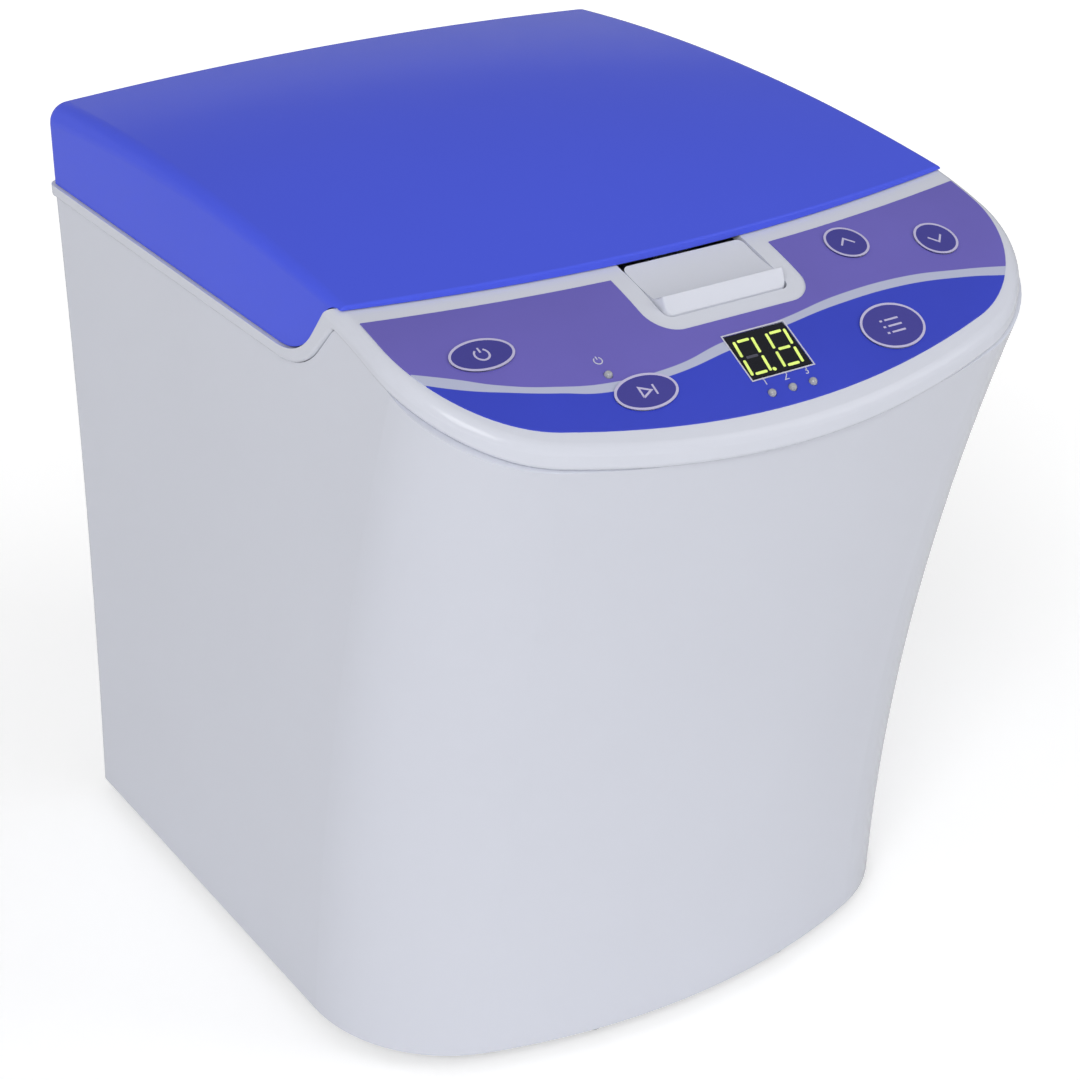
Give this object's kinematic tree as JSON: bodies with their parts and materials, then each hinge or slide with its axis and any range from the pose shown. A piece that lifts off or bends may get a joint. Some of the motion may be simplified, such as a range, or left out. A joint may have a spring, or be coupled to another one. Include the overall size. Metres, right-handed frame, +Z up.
{
  "type": "dental impression material mixer",
  "caption": "Bench mixer for dental impression material: white flared case, sloped keypad panel, hinged blue lid over a planetary cup rotor.",
  "frame": {"origin": "middle of the footprint, on the surface that the machine stands on", "axes": "+X to the right seen from the front, +Y to the rear, +Z up"},
  "size_m": [0.2626, 0.332, 0.3287],
  "materials": {
    "case_white": "fine gloss, pale cool white",
    "lid_blue": "gloss, royal blue",
    "film_violet": "printed film, satin",
    "key_violet": "embossed film, satin",
    "display_dark": "dark window",
    "led_lens": "diffuse lens",
    "board_green": "solder mask",
    "black_plastic": "moulded, fine grain",
    "tub_grey": "moulded",
    "cup_white": "smooth",
    "soft_rubber": "matt",
    "seal_rubber": "matt",
    "steel": "plain",
    "zinc_steel": "zinc plated",
    "cast_alloy": "cast, machined faces",
    "motor_paint": "satin",
    "core_steel": "varnished laminations"
  },
  "bodies": {
    "cabinet": {"body_shell": "case_white", "top_frame": "case_white", "base_plate": "zinc_steel", "case_screws": "steel", "rubber_feet": "soft_rubber", "frame_hinges": "zinc_steel", "hinge_pins": "steel", "panel_film": "film_violet", "display": "display_dark", "indicator_leds": "led_lens", "control_board": "board_green", "panel_screws": "steel", "key_switches": "black_plastic", "button_spring": "steel", "latch_bracket": "zinc_steel", "latch_pin": "steel", "mixing_tub": "tub_grey", "drive_track": "cast_alloy", "track_screws": "steel", "deck_plate": "zinc_steel", "deck_pillars": "cast_alloy", "drive_screws": "steel", "bearing_housing": "cast_alloy", "main_bearings": "steel", "motor_bracket": "zinc_steel", "motor_housing": "motor_paint", "drive_belt": "soft_rubber", "inlet_socket": "black_plastic", "switch_housing": "black_plastic", "fuse_holder": "black_plastic", "power_board": "board_green", "transformer": "core_steel"},
    "lid": {"lid_shell": "lid_blue", "lid_liner": "case_white", "lid_seal": "seal_rubber", "lid_screws": "steel", "lid_striker": "steel", "lid_hinges": "zinc_steel"},
    "rotor": {"rotor_arm": "cast_alloy", "counterweight": "steel", "weight_screws": "steel", "rotor_nut": "steel", "main_shaft": "steel", "driven_pulley": "cast_alloy"},
    "holder": {"cup_holder": "black_plastic", "holder_spindle": "steel", "spindle_clip": "steel", "drive_tyre": "soft_rubber"},
    "cup": {"mixing_cup": "cup_white"},
    "cap": {"cup_cap": "cup_white"},
    "motor_rotor": {"motor_shaft": "steel", "motor_pulley": "cast_alloy"},
    "button": {"release_button": "case_white"},
    "latch": {"latch_lever": "zinc_steel"},
    "rocker": {"rocker_switch": "black_plastic"},
    "key_power": {"key_power": "key_violet"},
    "key_start": {"key_start": "key_violet"},
    "key_up": {"key_up": "key_violet"},
    "key_down": {"key_down": "key_violet"},
    "key_memory": {"key_memory": "key_violet"}
  },
  "joints": [
    {"name": "lid_swing", "type": "hinge", "parent": "cabinet", "child": "lid", "pos_m": [0, 0.1626, 0.2856], "axis": [-1, 0, 0], "range_deg": [0, 95]},
    {"name": "rotor_spin", "type": "hinge", "parent": "cabinet", "child": "rotor", "pos_m": [0, 0.0415, 0.1845], "axis": [0, 0, 1], "continuous": true},
    {"name": "holder_spin", "type": "hinge", "parent": "rotor", "child": "holder", "pos_m": [0.047, 0.0415, 0.231], "axis": [-0.6428, 0, 0.766], "continuous": true},
    {"name": "cup_lift", "type": "slide", "parent": "holder", "child": "cup", "axis": [-0.6428, 0, 0.766], "range_m": [0, 0.0045]},
    {"name": "cap_lift", "type": "slide", "parent": "cup", "child": "cap", "axis": [-0.6428, 0, 0.766], "range_m": [0, 0.003]},
    {"name": "motor_spin", "type": "hinge", "parent": "cabinet", "child": "motor_rotor", "pos_m": [0, -0.058, 0.046], "axis": [0, 0, 1], "continuous": true},
    {"name": "button_press", "type": "slide", "parent": "cabinet", "child": "button", "axis": [0, 0, -1], "range_m": [0, 0.003], "stiffness_N_per_m": 400, "springref_m": -0.004, "deforming": ["button_spring"]},
    {"name": "latch_turn", "type": "hinge", "parent": "cabinet", "child": "latch", "pos_m": [0, -0.097, 0.279], "axis": [1, 0, 0], "range_deg": [0, 19]},
    {"name": "rocker_tip", "type": "hinge", "parent": "cabinet", "child": "rocker", "pos_m": [0.022, 0.158, 0.042], "axis": [1, 0, 0], "range_deg": [-8, 8]},
    {"name": "press_power", "type": "slide", "parent": "cabinet", "child": "key_power", "axis": [0, 0.35, -0.9367], "range_m": [0, 0.0004], "stiffness_N_per_m": 1500, "springref_m": -0.0006},
    {"name": "press_start", "type": "slide", "parent": "cabinet", "child": "key_start", "axis": [0, 0.4844, -0.8748], "range_m": [0, 0.0004], "stiffness_N_per_m": 1500, "springref_m": -0.0006},
    {"name": "press_up", "type": "slide", "parent": "cabinet", "child": "key_up", "axis": [0, 0.3094, -0.9509], "range_m": [0, 0.0004], "stiffness_N_per_m": 1500, "springref_m": -0.0006},
    {"name": "press_down", "type": "slide", "parent": "cabinet", "child": "key_down", "axis": [0, 0.3491, -0.9371], "range_m": [0, 0.0004], "stiffness_N_per_m": 1500, "springref_m": -0.0006},
    {"name": "press_memory", "type": "slide", "parent": "cabinet", "child": "key_memory", "axis": [0, 0.4868, -0.8735], "range_m": [0, 0.0004], "stiffness_N_per_m": 1500, "springref_m": -0.0006}
  ],
  "couplings": [
    {"joint": "holder_spin", "follows": "rotor_spin", "ratio": 0.97139},
    {"joint": "motor_spin", "follows": "rotor_spin", "ratio": 1.6667},
    {"joint": "latch_turn", "follows": "button_press", "rad_per_m": 107.63}
  ]
}
